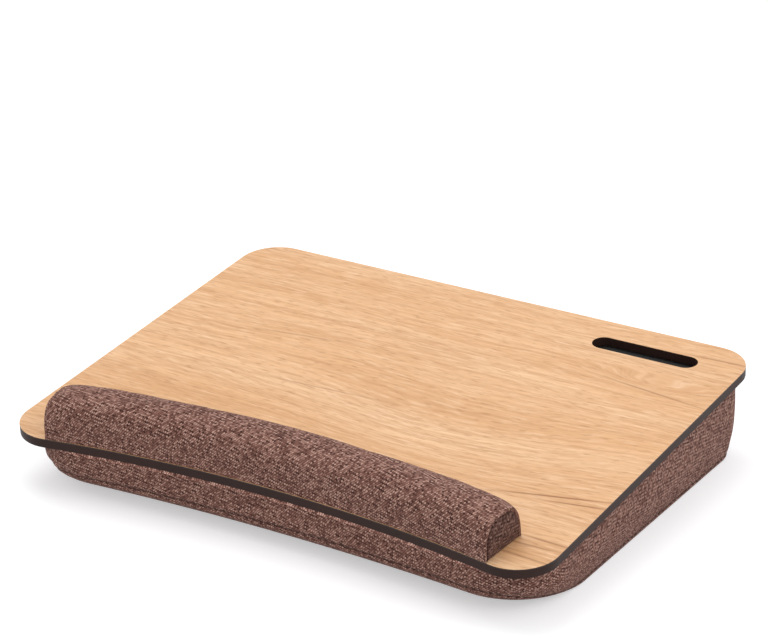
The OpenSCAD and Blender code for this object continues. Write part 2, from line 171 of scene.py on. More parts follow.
def lengths(points):
    """Distance along a line of points, from its first one."""
    steps = np.linalg.norm(np.diff(points, axis=0), axis=1)
    return np.concatenate([[0], np.cumsum(steps)])


def evened(points, count):
    """The same line with evenly spaced points."""
    along = lengths(points)
    wanted = np.linspace(0, along[-1], count)
    return np.stack([np.interp(wanted, along, axis) for axis in points.T], -1)


def cloth_places(points):
    """Places on the flat cloth: along the middle row, and up each column."""
    rows = len(points)
    along = lengths(points[rows // 2])
    up = np.stack([lengths(column) for column in points.transpose(1, 0, 2)], 1)
    return np.stack([np.broadcast_to(along, up.shape), up], -1)


def weld(piece, reach):
    """Joins the piece's points that lie closer together than reach."""
    joined = bmesh.new()
    joined.from_mesh(piece.data)
    bmesh.ops.remove_doubles(joined, verts=joined.verts, dist=reach)
    joined.to_mesh(piece.data)
    joined.free()


def thicken(piece, thickness, smooth=True):
    """Rounds the cloth once, if it is to be smooth, and gives it a thickness, inwards."""
    if smooth:
        rounding = piece.modifiers.new("round", "SUBSURF")
        rounding.levels = rounding.render_levels = 1
    shell = piece.modifiers.new("thickness", "SOLIDIFY")
    shell.thickness = thickness
    shell.offset = -1


# Cloth runs: frames, steps in a frame, mass, stiffness against stretch, shear and bending, and how far a
# point may move
SIM_FRAMES = 20
SIM_STEPS = 6
SIM_MASS = 0.25
SIM_STRETCH = 25
SIM_SHEAR = 12
SIM_BEND = 1.5
SIM_CAP = 0.8 * MM


def inflate(piece, held, pressure, spare):
    """Blows a sewn panel out by a short cloth run with its seams held. spare is how much wider than
    its space the cloth is cut, as a share."""
    scene = bpy.context.scene
    seam = piece.vertex_groups.new(name="seam")
    seam.add([int(i) for i in np.flatnonzero(held.ravel())], 1, "REPLACE")
    cloth = piece.modifiers.new("cloth", "CLOTH")
    settings = cloth.settings
    settings.quality = SIM_STEPS
    settings.mass = SIM_MASS
    settings.tension_stiffness = settings.compression_stiffness = SIM_STRETCH
    settings.shear_stiffness = SIM_SHEAR
    settings.bending_stiffness = SIM_BEND
    settings.use_pressure = True
    settings.uniform_pressure_force = pressure
    settings.shrink_min = -spare
    settings.effector_weights.gravity = 0
    settings.vertex_group_mass = "seam"
    cloth.collision_settings.use_collision = False
    cloth.point_cache.frame_start = 1
    cloth.point_cache.frame_end = SIM_FRAMES
    start = np.array([v.co for v in piece.data.vertices])
    for step in range(1, SIM_FRAMES + 1):
        scene.frame_set(step)
    blown = piece.evaluated_get(bpy.context.evaluated_depsgraph_get())
    moved = np.array([v.co for v in blown.data.vertices]) - start
    far = np.linalg.norm(moved, axis=1, keepdims=True)
    moved *= np.minimum(1, SIM_CAP / np.maximum(far, 1e-9))
    piece.modifiers.remove(cloth)
    piece.vertex_groups.remove(seam)
    piece.data.vertices.foreach_set("co", (start + moved).ravel())
    piece.data.update()
    scene.frame_set(1)


# Materials

# Pitch of the wave texture's bands at scale 1
WAVE_PITCH = 2 * math.pi / 20


class Look:
    """A procedural material. Each call adds a node and gives its output."""

    def __init__(self, name):
        self.material = bpy.data.materials.new(name)
        self.material.use_nodes = True
        self.tree = self.material.node_tree
        self.shader = self.tree.nodes["Principled BSDF"]

    def feed(self, socket, value):
        if isinstance(value, bpy.types.NodeSocket):
            self.tree.links.new(value, socket)
        else:
            socket.default_value = value

    def add(self, kind, output, inputs, **settings):
        node = self.tree.nodes.new("ShaderNode" + kind)
        for key, value in settings.items():
            setattr(node, key, value)
        for key, value in inputs.items():
            self.feed(node.inputs[key], value)
        return node.outputs[output]

    def axis(self, vector, index):
        return self.add("SeparateXYZ", index, {0: vector})

    def place(self):
        return self.add("TexCoord", "Object", {})

    def cloth(self):
        return self.add("Attribute", "Vector", {}, attribute_name="cloth")

    def stretched(self, vector, scale, turn=0, shift=(0, 0, 0)):
        if turn:
            vector = self.add("VectorRotate", 0, {"Vector": vector, "Angle": turn}, rotation_type="Z_AXIS")
        return self.add("Mapping", 0, {"Vector": vector, "Scale": scale, "Location": shift})

    def noise(self, vector, scale=1.0, detail=2.0, roughness=0.5, distortion=0.0):
        return self.add("TexNoise", 0, {"Vector": vector, "Scale": scale, "Detail": detail,
                                        "Roughness": roughness, "Distortion": distortion})

    def cells(self, vector):
        """Distance from the middle of the nearest cell."""
        return self.add("TexVoronoi", "Distance", {"Vector": vector, "Scale": 1.0})

    def ribs(self, vector, pitch, distortion=0.0):
        """Bands across the vector's x, one to each pitch."""
        return self.add("TexWave", "Fac", {"Vector": vector, "Scale": WAVE_PITCH / pitch,
                                           "Distortion": distortion, "Detail": 1.0, "Detail Scale": 2.0})

    def sum(self, operation, a, b=0.0):
        """Any sum of one or two numbers."""
        return self.add("Math", 0, {0: a, 1: b}, operation=operation)

    def spread(self, value, low, high, to_low, to_high):
        """The value's range from low to high, spread over another range and kept inside it."""
        return self.add("MapRange", 0, {0: value, 1: low, 2: high, 3: to_low, 4: to_high})

    def ramp(self, value, stops):
        out = self.add("ValToRGB", 0, {"Fac": value})
        elements = out.node.color_ramp.elements
        while len(elements) < len(stops):
            elements.new(0.5)
        for element, (at, colour) in zip(elements, stops):
            element.position = at
            element.color = (*colour, 1)
        return out

    def mix(self, factor, a, b, blend="MIX"):
        return self.add("Mix", 2, {0: factor, 6: a, 7: b}, data_type="RGBA", blend_type=blend)

    def bump(self, height, strength, distance):
        return self.add("Bump", 0, {"Height": height, "Strength": strength, "Distance": distance})

    def done(self, **inputs):
        for key, value in inputs.items():
            self.feed(self.shader.inputs[key.replace("_", " ")], value)
        return self.material


def rgb(red, green, blue):
    """A colour as it looks on screen, for the shader."""
    def linear(level):
        level /= 255
        return level / 12.92 if level <= 0.04045 else ((level + 0.055) / 1.055) ** 2.4
    return linear(red), linear(green), linear(blue)


def rgba(*levels):
    return *rgb(*levels), 1


# Dark streaks in the oak, in millimetres: start, end, width and strength
STREAKS = (
    ((128, -88), (230, -61), 1.0, 0.95),
    ((165, -84), (235, -70), 0.9, 0.85),
    ((176, -127), (230, -129), 1.0, 0.7),
    ((165, -138), (225, -136), 1.0, 0.65),
    ((165, -150), (225, -153), 1.1, 0.6),
    ((160, 149), (235, 152), 1.0, 0.6),
    ((110, 94), (235, 77), 0.9, 0.6),
    ((-150, 40), (-60, 52), 0.8, 0.5),
    ((-110, -20), (20, -12), 0.8, 0.45),
)
# How far the grain wanders aside, and the share of that in a streak
WANDER = 9 * MM
STREAK_WANDER = 0.12
# Flame that the grain bends round, and patch where it runs askew: middle, reach and strength
FLAME_AT, FLAME_REACH, FLAME_BEND = (168 * MM, 97 * MM), (48 * MM, 11 * MM), 17 * MM
ASKEW_AT, ASKEW_REACH, ASKEW_LEAN = (170 * MM, -30 * MM), (150 * MM, 60 * MM), 0.2
# Broken growth rings: stretch and shift of their noise, and their width in it
OAK_RINGS = ((2.6, 75, 0), (1, 9, 0), 0.09), ((5, 130, 0), (6, 2, 0), 0.13)
# Tones of the broad bands, and of what is drawn over them
OAK_BANDS = (0.3, rgb(223, 173, 123)), (0.5, rgb(237, 191, 145)), (0.7, rgb(245, 206, 164))
OAK_LINE = rgba(206, 151, 102)
OAK_DASH = rgba(190, 134, 86)
OAK_RING = rgba(184, 128, 82)
OAK_FLECK = rgba(245, 209, 174)
OAK_FIBRE = rgba(207, 155, 108)
OAK_PORE = rgba(174, 119, 75)
OAK_STREAK = rgba(150, 98, 60)
OAK_RIM = rgba(50, 36, 31)


def oak_look():
    """Oak laminate: its grain wanders along the board, bends round one flame and carries fine fibres,
    soft growth lines, short pores and a few long dark streaks. Its rim is as dark as the edging."""
    look = Look("oak")
    place = look.place()
    x, y = look.axis(place, 0), look.axis(place, 1)

    def hill(middle, reach):
        """1 at the middle, falling to nought round it."""
        off = [look.sum("DIVIDE", look.sum("SUBTRACT", axis, at), size)
               for axis, at, size in zip((x, y), middle, reach)]
        far = look.sum("ADD", *(look.sum("MULTIPLY", part, part) for part in off))
        return look.sum("EXPONENT", look.sum("MULTIPLY", far, -1.0))

    wander = look.spread(look.noise(look.stretched(place, (2.4, 9, 0)), detail=2), 0.2, 0.8, -WANDER, WANDER)
    flame = look.sum("MULTIPLY", hill(FLAME_AT, FLAME_REACH), FLAME_BEND)
    lean = look.sum("MULTIPLY", look.sum("SUBTRACT", x, ASKEW_AT[0]), -ASKEW_LEAN)
    askew = look.sum("MULTIPLY", hill(ASKEW_AT, ASKEW_REACH), lean)
    grain = look.sum("ADD", look.sum("ADD", y, flame), look.sum("ADD", wander, askew))
    along = look.add("CombineXYZ", 0, {0: x, 1: grain})

    broad = look.noise(look.stretched(along, (2.5, 22, 0)), detail=3)
    lines = look.noise(look.stretched(along, (2.2, 170, 0), shift=(0, 3, 0)), detail=5, roughness=0.7)
    fibre = look.noise(look.stretched(along, (35, 600, 0)), detail=4, roughness=0.7)
    pores = look.noise(look.stretched(along, (90, 600, 0)), detail=1)
    fleck = look.noise(look.stretched(along, (45, 420, 0), shift=(7, 1, 0)), detail=2)
    dashes = look.noise(look.stretched(along, (55, 480, 0), shift=(3, 5, 0)), detail=2)
    colour = look.ramp(broad, OAK_BANDS)
    colour = look.mix(look.spread(lines, 0.47, 0.7, 0.0, 0.42), colour, OAK_LINE)
    colour = look.mix(look.spread(dashes, 0.56, 0.68, 0.0, 0.3), colour, OAK_DASH)
    broken = look.spread(fleck, 0.4, 0.6, 1.0, 0.3)
    for scale, shift, width in OAK_RINGS:
        ring = look.noise(look.stretched(along, scale, shift=shift), detail=1)
        off = look.sum("ABSOLUTE", look.sum("SUBTRACT", ring, 0.5))
        drawn = look.sum("MULTIPLY", look.spread(off, 0.0, width, 0.3, 0.0), broken)
        colour = look.mix(drawn, colour, OAK_RING)
    colour = look.mix(look.spread(fleck, 0.55, 0.75, 0.0, 0.6), colour, OAK_FLECK)
    colour = look.mix(look.spread(fibre, 0.4, 0.7, 0.0, 0.5), colour, OAK_FIBRE)
    colour = look.mix(look.spread(pores, 0.58, 0.7, 0.0, 0.4), colour, OAK_PORE)
    for (from_x, from_y), (to_x, to_y), width, strength in STREAKS:
        share = look.spread(x, from_x * MM, to_x * MM, 0.0, 1.0)
        middle = look.spread(x, from_x * MM, to_x * MM, from_y * MM, to_y * MM)
        aside = look.sum("ADD", look.sum("SUBTRACT", y, middle), look.sum("MULTIPLY", wander, STREAK_WANDER))
        off = look.sum("DIVIDE", aside, width * MM)
        thin = look.sum("EXPONENT", look.sum("MULTIPLY", look.sum("MULTIPLY", off, off), -1.0))
        fade = look.sum("MULTIPLY", look.sum("SINE", look.sum("MULTIPLY", share, math.pi)), strength)
        colour = look.mix(look.sum("MULTIPLY", thin, fade), colour, OAK_STREAK)
    upward = look.axis(look.add("NewGeometry", "True Normal", {}), 2)
    colour = look.mix(look.spread(upward, 0.3, 0.6, 1.0, 0.0), colour, OAK_RIM)
    relief = look.sum("ADD", look.sum("MULTIPLY", pores, -0.6), look.sum("MULTIPLY", fibre, 0.4))
    return look.done(Base_Color=colour, Roughness=look.spread(fibre, 0.3, 0.7, 0.44, 0.58),
                     Normal=look.bump(relief, 0.1, 0.0002), Specular_IOR_Level=0.35)


# Dark, middling and light threads of the twill, the slant and pitch of its ribs and the length of yarn that
# shows between two crossings, which starts further along in each rib
TWILL_TONES = rgb(58, 34, 28), rgb(138, 97, 86), rgb(204, 163, 148)
TWILL_SLANT = math.radians(45)
TWILL_PITCH = 1.4 * MM
FLOAT_L = 1.5 * MM
FLOAT_STEP = 0.38
# Reach of the thread that shows in a sewn seam, the pitch of its stitches and its colour
STITCH_W = 0.7 * MM
STITCH_PITCH = 6 * MM
STITCH_THREAD = rgba(62, 40, 35)


def twill_look(name, shade=1.0):
    """Melange twill: slanting ribs of yarn in which dark, middling and light threads come at random."""
    dark, middle, light = (tuple(shade * level for level in colour) for colour in TWILL_TONES)
    look = Look(name)
    cloth = look.cloth()
    flat = look.add("VectorMath", 0, {0: cloth, 1: (1, 1, 0)}, operation="MULTIPLY")
    wobble = look.spread(look.noise(flat, scale=150, detail=2), 0.25, 0.75, -0.5, 0.5)
    slanted = look.stretched(flat, (1 / TWILL_PITCH, 1 / FLOAT_L, 0), turn=TWILL_SLANT)
    across = look.sum("ADD", look.axis(slanted, 0), wobble)
    rib = look.sum("FLOOR", across)
    along = look.sum("ADD", look.axis(slanted, 1), look.sum("MULTIPLY", rib, FLOAT_STEP))
    pick = look.sum("FLOOR", along)
    chance = look.add("TexWhiteNoise", "Value", {"Vector": look.add("CombineXYZ", 0, {0: rib, 1: pick})},
                      noise_dimensions="2D")
    every_other = look.sum("FRACT", look.sum("MULTIPLY", look.sum("ADD", rib, pick), 0.5))
    ribs, floats = (look.sum("SINE", look.sum("MULTIPLY", look.sum("FRACT", at), math.pi))
                    for at in (across, along))
    fuzz = look.noise(flat, scale=1200, detail=3)
    cloudy = look.noise(flat, scale=55, detail=3)
    mixed = look.sum("ADD", look.sum("MULTIPLY", chance, 0.55), look.sum("MULTIPLY", every_other, 0.4))
    tone = look.sum("ADD", mixed, look.sum("MULTIPLY", fuzz, 0.3))
    thread = look.ramp(tone, [(0.18, dark), (0.5, middle), (0.84, light)])
    # Painted shade: the dark thread tone is laid into the gaps between floats and the grooves between ribs
    float_gap_shade = look.mix(look.spread(floats, 0.0, 0.4, 0.35, 0.0), thread, (*dark, 1))
    rib_groove_shade = look.mix(look.spread(ribs, 0.1, 0.8, 0.9, 0.0), float_gap_shade, (*dark, 1))
    cloth_colour = look.mix(look.spread(cloudy, 0.3, 0.7, 0.0, 0.15), rib_groove_shade, (*middle, 1))
    near = look.spread(look.axis(cloth, 2), STITCH_W, 2 * STITCH_W, 1.0, 0.0)
    dash = look.spread(look.ribs(flat, STITCH_PITCH), 0.35, 0.65, 0.25, 0.9)
    colour = look.mix(look.sum("MULTIPLY", near, dash), cloth_colour, STITCH_THREAD)
    relief = look.sum("ADD", look.sum("MULTIPLY", ribs, 0.7), look.sum("MULTIPLY", floats, 0.3))
    return look.done(Base_Color=colour, Roughness=look.spread(chance, 0, 1, 0.82, 0.95),
                     Normal=look.bump(relief, 0.5, 0.0003),
                     Sheen_Weight=0.06, Sheen_Roughness=0.5, Sheen_Tint=(1.0, 0.86, 0.8, 1),
                     Specular_IOR_Level=0.1)


def plain_weave_look(name, colour, deep, pitch):
    """Plain weave of a lining: threads both ways."""
    look = Look(name)
    cloth = look.cloth()
    warp = look.ribs(cloth, pitch, distortion=0.4)
    weft = look.ribs(look.stretched(cloth, (1, 1, 1), turn=math.pi / 2), pitch, distortion=0.4)
    weave = look.sum("MULTIPLY", warp, weft)
    wear = look.noise(cloth, scale=60, detail=3)
    woven = look.mix(look.spread(weave, 0.0, 0.7, 0.0, 1.0), (*deep, 1), (*colour, 1))
    tone = look.mix(look.spread(wear, 0.35, 0.7, 0.0, 0.35), woven, (*deep, 1))
    return look.done(Base_Color=tone, Roughness=look.spread(wear, 0.3, 0.7, 0.78, 0.92),
                     Normal=look.bump(weave, 0.5, 0.0002), Sheen_Weight=0.15)


def grained_look(name, colour, deep, scale, rough, metal=0.0, bump=0.15, depth=0.0001, shine=0.5):
    """Moulded, painted, pressed or plated stuff with a fine grain and a little unevenness."""
    look = Look(name)
    place = look.place()
    grain = look.noise(place, scale=scale, detail=4, roughness=0.6)
    patch = look.noise(place, scale=scale / 25, detail=3)
    tone = look.sum("ADD", look.sum("MULTIPLY", grain, 0.6), look.sum("MULTIPLY", patch, 0.4))
    return look.done(Base_Color=look.mix(look.spread(tone, 0.3, 0.7, 0.0, 1.0), (*deep, 1), (*colour, 1)),
                     Roughness=look.spread(tone, 0.3, 0.7, rough - 0.07, rough + 0.07),
                     Normal=look.bump(grain, bump, depth), Metallic=metal, Specular_IOR_Level=shine)


def hook_loop_look():
    """Black tape covered with tiny loops."""
    look = Look("hook_loop")
    loops = look.cells(look.stretched(look.place(), (900, 900, 900)))
    return look.done(Base_Color=look.mix(loops, rgba(34, 34, 35), rgba(12, 12, 12)), Roughness=0.9,
                     Normal=look.bump(loops, 0.8, 0.0006))


def plywood_look():
    look = Look("plywood")
    place = look.place()
    plies = look.noise(look.stretched(place, (6, 300, 900)), detail=3)
    return look.done(Base_Color=look.ramp(plies, [(0.35, rgb(168, 128, 84)), (0.65, rgb(205, 168, 120))]),
                     Roughness=look.spread(plies, 0.3, 0.7, 0.6, 0.75), Normal=look.bump(plies, 0.2, 0.0002))


OAK = oak_look()
TWILL = twill_look("brown_twill")
# The roll's end panels are the same twill at half brightness: painted shade on the ends
END_TWILL_SHADED = twill_look("end_twill_painted_shade", shade=0.5)
BINDING = twill_look("binding_tape", shade=1.6)
LINING = plain_weave_look("lining_cloth", rgb(30, 28, 27), rgb(12, 11, 11), 0.8 * MM)
ZIP_TAPE = grained_look("zip_tape", rgb(78, 58, 50), rgb(50, 36, 31), 2500, 0.85, bump=0.5, depth=0.0002)
ZIP_TEETH = grained_look("zip_teeth", rgb(74, 54, 46), rgb(52, 37, 31), 1500, 0.45)
ZIP_METAL = grained_look("zip_metal", rgb(112, 100, 88), rgb(74, 65, 56), 1800, 0.36, metal=1.0)
EDGING = grained_look("edging", rgb(58, 39, 34), rgb(38, 25, 22), 900, 0.5, bump=0.12, shine=0.15)
BACKING = grained_look("backing", rgb(40, 37, 35), rgb(26, 24, 23), 700, 0.7)
FIBREBOARD = grained_look("fibreboard", rgb(142, 110, 80), rgb(108, 80, 56), 1200, 0.85,
                          bump=0.3, depth=0.0003)
STEEL = grained_look("screw_steel", rgb(196, 196, 192), rgb(160, 160, 156), 2000, 0.32, metal=1.0)
GRIP = hook_loop_look()
PLYWOOD = plywood_look()

NODE_LOOKS = {
    "oak_top": OAK, "board_core": FIBREBOARD, "backing_sheet": BACKING,
    "edge_band": EDGING, "slot_edging": EDGING,
    "wrist_strip": PLYWOOD, "wrist_screws": STEEL, "hook_strips": GRIP, "loop_strips": GRIP,
    "zip_tape_upper": ZIP_TAPE, "zip_tape_lower": ZIP_TAPE,
    "zip_stops": ZIP_METAL, "zip_slider": ZIP_METAL, "zip_pull": ZIP_METAL,
}
# Nodes whose sharp edges are eased, and by how much
EASED = {
    "oak_top": 0.2 * MM, "edge_band": 0.4 * MM, "slot_edging": 0.3 * MM,
    "zip_stops": 0.3 * MM, "zip_slider": 0.2 * MM, "zip_pull": 0.25 * MM,
}
# Corners sharper than this are eased
EASE_ANGLE = math.radians(40)

for name, look in NODE_LOOKS.items():
    node = frame["nodes"][name]
    for slot in node.material_slots:
        slot.material = look
for name, width in EASED.items():
    ease = frame["nodes"][name].modifiers.new("ease", "BEVEL")
    ease.width = width
    ease.segments = 3
    ease.limit_method = "ANGLE"
    ease.angle_limit = EASE_ANGLE
    ease.harden_normals = True

# Board outline

CORNER_X = BOARD_W / 2 - CORNER_R
CORNER_Y = BOARD_D / 2 - CORNER_R
ARC_TURN = math.asin(CORNER_X / (FRONT_ARC_R + CORNER_R))
ARC_Y = -CORNER_Y - (FRONT_ARC_R + CORNER_R) * math.cos(ARC_TURN)


def front_edge(x):
    return ARC_Y + np.sqrt(FRONT_ARC_R ** 2 - x ** 2)


# Wrist rest: a roll of cloth between two end panels

ROLL_COLS = 128
ROLL_ROWS = 34
# Points along a section before it is evened
SECTION_COUNT = 181
# How far the roll's front foot spreads past the filling, all along and more at the ends
FOOT_SPREAD = 1.5 * MM
END_SPREAD = 0.5 * MM
# How far the ends stand out at the rear foot, and over what length
END_OUT = 3.2 * MM
END_REACH = 45 * MM
# The roll's cloth bulges past the end seams, which are drawn in
END_BULGE = 1.4 * MM
SEAM_BACK = 0.4 * MM
SEAM_SUNK = 2.4 * MM
# Puckers where the cloth is gathered into the end seams: height and reach
PUCKER = 0.45 * MM
PUCKER_REACH = 9 * MM
ROLL_CLOTH_T = 1.0 * MM


def crown(x):
    """Share of the full crown at a place along the roll, nought at the end panels."""
    share = np.clip((REST_L / 2 - abs(x)) / REST_PUFF, 0, 1)
    return np.sqrt(1 - (1 - share) ** 2)


def roll_section(x):
    """Section of the roll at x, from its front foot over the crown to its rear foot, as x, back and up."""
    angle = np.linspace(0, math.pi, SECTION_COUNT)
    front = angle < math.pi / 2
    bend = np.where(front, REST_FRONT_ROUND, REST_REAR_ROUND)
    end = np.clip((abs(x) - REST_L / 2 + END_REACH) / END_REACH, 0, 1) ** 2
    out = REST_D / 2 * np.abs(np.cos(angle)) ** (2 / bend) * np.where(front, -1, 1)
    spread = (FOOT_SPREAD + END_SPREAD * end) * np.maximum(np.cos(angle), 0)
    swell = np.where(front, REST_SWELL * crown(x) * np.sin(2 * angle), 0)
    back = out - spread - swell
    up = (REST_END_H + (REST_H - REST_END_H) * crown(x)) * np.sin(angle) ** (2 / bend)
    slant = END_OUT * (0.5 + back / REST_D)
    place = front_edge(x) + REST_SETBACK + REST_D / 2 + back
    return evened(np.stack([x + np.sign(x) * end * slant, place, up], -1), ROLL_ROWS)


def roll_stations():
    """Places along the roll, closer together at its ends."""
    share = np.linspace(-1, 1, ROLL_COLS)
    return (REST_L / 2 + END_BULGE) * (0.72 * share + 0.28 * np.sin(share * math.pi / 2))


def drawn_in(section, side):
    """The section at an end seam: a little back along the roll and smaller all round."""
    middle = section.mean(0) * (1, 1, 0)
    inward = (middle - section) * (0, 1, 1)
    size = np.linalg.norm(inward, axis=1, keepdims=True)
    seam = section + SEAM_SUNK * inward / size * (section[:, 2:] > MM)
    return seam - np.array((side * (END_BULGE + SEAM_BACK), 0, 0))


def make_roll():
    stations = roll_stations()
    sections = [roll_section(x) for x in stations]
    sections = [drawn_in(sections[0], -1), *sections, drawn_in(sections[-1], 1)]
    points = np.stack(sections, 1)
    rows, cols = points.shape[:2]
    girth = np.linspace(0, 1, rows)[:, None]
    near = np.exp(-((REST_L / 2 - np.abs(points[rows // 2, :, 0])) / PUCKER_REACH) ** 2)[None, :]
    puckers = np.sin(girth * 47 + 3 * np.sin(girth * 11)) * np.sin(math.pi * girth)
    points[..., 2] += PUCKER * near * puckers
    roll = grid_object("wrist_roll", (on_board(points), cloth_places(points)))
    held = np.zeros((rows, cols), bool)
    held[:1] = held[-1:] = True
    held[:, :2] = held[:, -2:] = True
    inflate(roll, held, pressure=3.0, spare=0.004)
    thicken(roll, ROLL_CLOTH_T)
    dress(roll, TWILL)
    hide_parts("wrist_cover", "wrist_foam")
    make_end_panel(-1, "left", sections[0])
    make_end_panel(1, "right", sections[-1])


PANEL_ROWS = 9
PANEL_PUFF = 2.4 * MM
PANEL_CLOTH_T = 0.9 * MM
WELD_REACH = 0.05 * MM


def make_end_panel(side, word, seam):
    """End panel of the roll: it fills the seam's outline and swells a little."""
    down = np.linspace(0, 1, PANEL_ROWS)[:, None]
    girth = np.linspace(0, math.pi, ROLL_ROWS)
    puff = side * PANEL_PUFF * np.sin(math.pi * down) ** 0.6 * np.sin(girth) ** 0.5
    back = np.broadcast_to(seam[:, 1], puff.shape)
    points = np.stack([seam[:, 0] + puff, back, seam[:, 2] * (1 - down)], -1)
    if side > 0:
        points = points[::-1]
    panel = grid_object("wrist_end_cloth_" + word, (on_board(points), points[..., 1:] * (side, 1)))
    weld(panel, WELD_REACH)
    thicken(panel, PANEL_CLOTH_T)
    # The end panel's cloth is darkened with painted shade
    dress(panel, END_TWILL_SHADED)
    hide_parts("wrist_end_" + word)


# Cushion: walls between the top seam and the bottom seam, a base turned up round its rim,
# and two strips with the zip between them at the rear

SEAM_UP = -BOARD_T - GRIP_T
# Height of the bottom seam at the sides and the rear, and how much higher it runs across the front
BASE_SEAM = 2.8 * MM
FRONT_CLIMB = 15 * MM
LEVELS = np.linspace(0, 1, 31)
WALL_ROWS = 15
FOOT_LIFT = 0.4 * MM
# Points along half an outline: rear, rear corner, side, front corner and hollow front
REAR_COUNT, REAR_CORNER_COUNT, SIDE_COUNT, FRONT_CORNER_COUNT, FRONT_COUNT = 7, 13, 60, 24, 42


def arc(x, y, radius, start, end, count):
    turn = np.radians(np.linspace(start, end, count))
    return np.stack([x + radius * np.cos(turn), y + radius * np.sin(turn)], -1)


def wall_outline(share, grow=0.0):
    """Plan of the cover at a share of its height, from the left end of the rear opening round the
    front to its right end. Every share has the same number of points."""
    down = 1 - share
    puff = BELLY * math.sin(math.pi * share) ** 2 + grow
    under = down ** TURN_UNDER
    side = BOARD_W / 2 - SEAM_SIDE - (FOOT_SIDE - SEAM_SIDE) * under + puff
    hollow_r = FRONT_ARC_R + (FOOT_ARC_R - FRONT_ARC_R) * down ** 2
    hollow_y = ARC_Y + FRONT_ARC_R - hollow_r
    far = hollow_r + SEAM_FRONT + (FOOT_FRONT - SEAM_FRONT) * under - puff
    rear = BOARD_D / 2 - SEAM_REAR - (FOOT_REAR - SEAM_REAR) * down + grow
    back_r = REAR_R + grow
    front_r = SEAM_R + (FOOT_R - SEAM_R) * down ** 2 + grow
    front_x = side - front_r
    turn = math.degrees(math.asin(front_x / (far + front_r)))
    front_y = hollow_y + (far + front_r) * math.cos(math.radians(turn))
    rear_x, rear_y = side - back_r, rear - back_r
    half = [
        np.linspace((-REAR_W / 2, rear), (-rear_x, rear), REAR_COUNT)[:-1],
        arc(-rear_x, rear_y, back_r, 90, 180, REAR_CORNER_COUNT)[:-1],
        np.linspace((-side, rear_y), (-side, front_y), SIDE_COUNT)[:-1],
        arc(-front_x, front_y, front_r, 180, 270 + turn, FRONT_CORNER_COUNT)[:-1],
        arc(0, hollow_y, far, 90 + turn, 90, FRONT_COUNT)]
    left = np.concatenate(half)
    return np.concatenate([left, (left * (-1, 1))[-2::-1]])


def lifted(plan, share):
    """Plan points raised to a share of the way from the floor to the top seam."""
    top = on_board(np.column_stack([plan, np.full(len(plan), SEAM_UP)]))
    low = on_board(np.column_stack([plan, np.zeros(len(plan))]))
    return np.column_stack([plan[:, 0], low[:, 1] + share * (top[:, 1] - low[:, 1]),
                            FOOT_LIFT + share * (top[:, 2] - FOOT_LIFT)])


wall_stack = np.stack([lifted(wall_outline(share), share) for share in LEVELS])


def wall_point(share):
    """Wall points with a share of the height for each column."""
    at = np.clip(share, 0, 1) * (len(LEVELS) - 1)
    low = np.minimum(at.astype(int), len(LEVELS) - 2)
    part = (at - low)[:, None]
    cols = np.arange(wall_stack.shape[1])
    return wall_stack[low, cols] * (1 - part) + wall_stack[low + 1, cols] * part


def outward(points):
    """Level direction out of the wall at each point of a row that runs anticlockwise."""
    along = np.gradient(points, axis=0)
    out = np.stack([along[:, 1], -along[:, 0], np.zeros(len(points))], -1)
    return out / np.linalg.norm(out, axis=1, keepdims=True)


WALL_TOP = wall_stack[-1]
WALL_OUT = outward(WALL_TOP)
SEAM_HEIGHT = BASE_SEAM + FRONT_CLIMB * np.clip(-WALL_OUT[:, 1], 0, 1) ** 2
SEAM_SHARE = SEAM_HEIGHT / WALL_TOP[:, 2]


# How far cloth is drawn in at a seam, and how wide the dip is there and along the zip
DIP = 0.9 * MM
DIP_W = 1.3 * MM
ZIP_DIP_W = 1.6 * MM
# Puckers along the bottom seam and the zip: their height and reach
GATHER = 0.25 * MM
GATHER_REACH = 7 * MM
ZIP_GATHER_REACH = 6 * MM


def seam_dip(distance, width=DIP_W):
    """How far cloth is drawn in at a distance from a seam."""
    return DIP * np.exp(-(distance / width) ** 2)


def gathers(along, pitch, swing, pitch_change):
    """Uneven ripples along a seam."""
    return np.sin(along / pitch + swing * np.sin(along / pitch_change))


# How far in and along the wall's rear ends are turned behind the zip tape
TUCK_IN = 2.4 * MM
TUCK_L = 6 * MM


def tucked(points):
    """The wall with its rear ends turned in, so that the zip's ends close on cloth."""
    first, last = points[:, :1], points[:, -1:]
    inner = [end - TUCK_IN * REAR_OUT for end in (first, last)]
    ends = [turned - np.sign(turned) * (TUCK_L, 0, 0) for turned in inner]
    return np.concatenate([ends[0], inner[0], points, inner[1], ends[1]], axis=1)


def make_wall():
    shares = np.linspace(0, 1, WALL_ROWS)[:, None]
    # Rows crowd towards the two seams
    shares = 0.5 - 0.5 * np.cos(math.pi * shares) * (0.6 + 0.4 * np.abs(np.cos(math.pi * shares)))
    points = np.stack([wall_point(SEAM_SHARE + (1 - SEAM_SHARE) * share) for share in shares])
    to_seam = shares * (WALL_TOP[:, 2] - SEAM_HEIGHT)
    along = lengths(WALL_TOP)
    gather = GATHER * np.exp(-to_seam / GATHER_REACH) * gathers(along, 3.1 * MM, 2, 23 * MM)
    points += WALL_OUT * (gather - seam_dip(to_seam))[..., None]
    points = tucked(points)
    to_seam = np.pad(to_seam, ((0, 0), (2, 2)), "edge")
    wall = grid_object("cushion_wall", (points, cloth_places(points)), seam=to_seam)
    held = np.zeros(points.shape[:2], bool)
    held[:2] = held[-1:] = True
    held[:, :3] = held[:, -3:] = True
    inflate(wall, held, pressure=2.0, spare=0.006)
    thicken(wall, CLOTH_T)
    dress(wall, TWILL)
    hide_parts("cover_band", "cushion_foam")


REAR_COLS = 80
# Places across the rear wall, from its right end to its left one
REAR_X = np.linspace(REAR_W / 2, -REAR_W / 2, REAR_COLS)


def whole_ring(row, rear_y, rear_z):
    """A wall row closed across the rear, so that it runs all the way round."""
    x = REAR_X[1:-1]
    rear = np.column_stack([x, np.full(len(x), rear_y), np.full(len(x), rear_z)])
    return np.concatenate([row, rear])


RIM_ROWS = 7
RIM_TURN = 1 * MM
